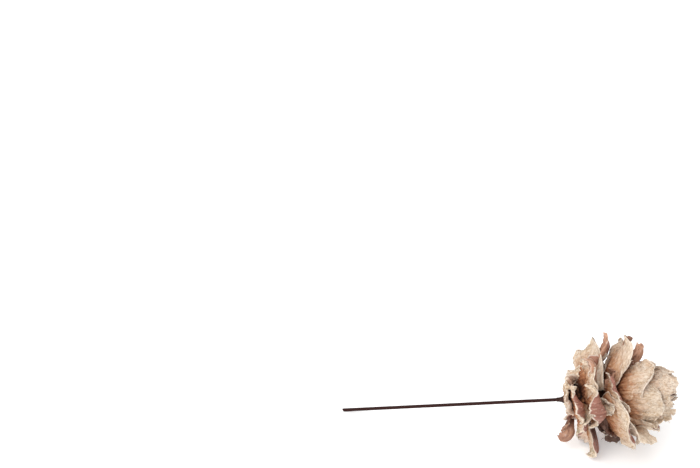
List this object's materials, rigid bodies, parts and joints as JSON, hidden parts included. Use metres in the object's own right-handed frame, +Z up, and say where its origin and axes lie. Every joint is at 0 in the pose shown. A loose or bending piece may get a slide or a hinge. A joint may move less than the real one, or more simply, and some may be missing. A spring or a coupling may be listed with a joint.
{
  "type": "cone pick",
  "caption": "Bleached rose-shaped seed cone with thick curled woody scales, set on a straight dark stub wire with a small glue collar, lying on its side.",
  "frame": {"origin": "centre of the footprint, on the surface that the pick lies on", "axes": "+Z up, +X along the pick from the wire's free end to the cone's bud"},
  "size_m": [0.1192, 0.0428, 0.0448],
  "materials": {
    "bleached_scale": "rough bleached wood, cream outside and chestnut inside the scales",
    "lacquered_wire": "satin dark brown lacquer",
    "brown_glue": "dull dark brown"
  },
  "bodies": {
    "root": {"cone": "bleached_scale", "wire": "lacquered_wire", "glue_collar": "brown_glue"}
  },
  "joints": []
}
